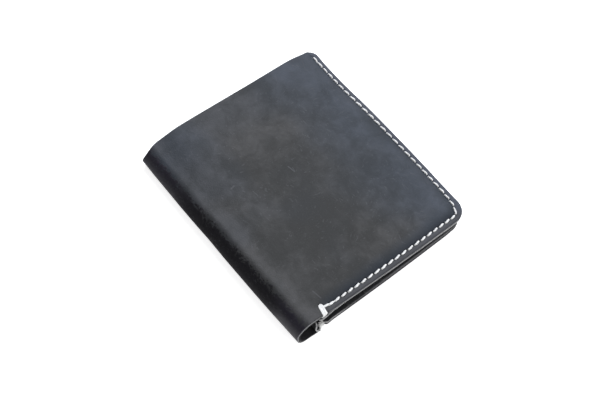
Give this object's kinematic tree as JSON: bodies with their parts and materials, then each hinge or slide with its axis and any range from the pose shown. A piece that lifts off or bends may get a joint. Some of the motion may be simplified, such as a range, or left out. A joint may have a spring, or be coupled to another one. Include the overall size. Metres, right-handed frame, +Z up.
{
  "type": "bifold wallet",
  "caption": "Flat bifold leather wallet with a contrast seam along two edges, stepped card pockets and a note sleeve; opens flat on a bending fold.",
  "frame": {"origin": "middle of the closed wallet's outline, on the surface that its back cover rests on", "axes": "+X from the fold to the open edge, +Y along the fold to the mouth of the note sleeve, +Z up through the front cover"},
  "size_m": [0.0962, 0.1007, 0.012],
  "materials": {
    "cover_leather": "dark waxed pull-up leather, satin",
    "divider_leather": "thin dark leather, satin",
    "pocket_leather": "thin dark leather, satin",
    "thread": "white waxed thread"
  },
  "bodies": {
    "back_half": {"back_cover": "cover_leather", "back_divider": "divider_leather", "back_pocket_1": "pocket_leather", "back_pocket_2": "pocket_leather", "back_pocket_3": "pocket_leather", "back_outer_stitches": "thread", "back_inner_stitches": "thread", "back_bartack": "thread"},
    "fold_1": {"spine_strip_1": "cover_leather"},
    "fold_2": {"spine_strip_2": "cover_leather"},
    "fold_3": {"spine_strip_3": "cover_leather"},
    "fold_4": {"spine_strip_4": "cover_leather"},
    "fold_5": {"spine_strip_5": "cover_leather"},
    "front_half": {"front_cover": "cover_leather", "front_divider": "divider_leather", "front_pocket_1": "pocket_leather", "front_pocket_2": "pocket_leather", "front_pocket_3": "pocket_leather", "front_outer_stitches": "thread", "front_inner_stitches": "thread", "front_bartack": "thread"}
  },
  "joints": [
    {"name": "back_bend", "type": "hinge", "parent": "back_half", "child": "fold_1", "pos_m": [-0.04209, 0, 0], "axis": [0, -1, 0], "range_deg": [0, 18.28]},
    {"name": "bend_1", "type": "hinge", "parent": "fold_1", "child": "fold_2", "pos_m": [-0.04567, 0, 0.00118], "axis": [0, -1, 0], "range_deg": [0, 36.56]},
    {"name": "bend_2", "type": "hinge", "parent": "fold_2", "child": "fold_3", "pos_m": [-0.04783, 0, 0.00426], "axis": [0, -1, 0], "range_deg": [0, 36.56]},
    {"name": "bend_3", "type": "hinge", "parent": "fold_3", "child": "fold_4", "pos_m": [-0.04774, 0, 0.00802], "axis": [0, -1, 0], "range_deg": [0, 36.56]},
    {"name": "bend_4", "type": "hinge", "parent": "fold_4", "child": "fold_5", "pos_m": [-0.04543, 0, 0.01099], "axis": [0, -1, 0], "range_deg": [0, 36.56]},
    {"name": "front_bend", "type": "hinge", "parent": "fold_5", "child": "front_half", "pos_m": [-0.0418, 0, 0.01199], "axis": [0, -1, 0], "range_deg": [0, 18.28]}
  ]
}
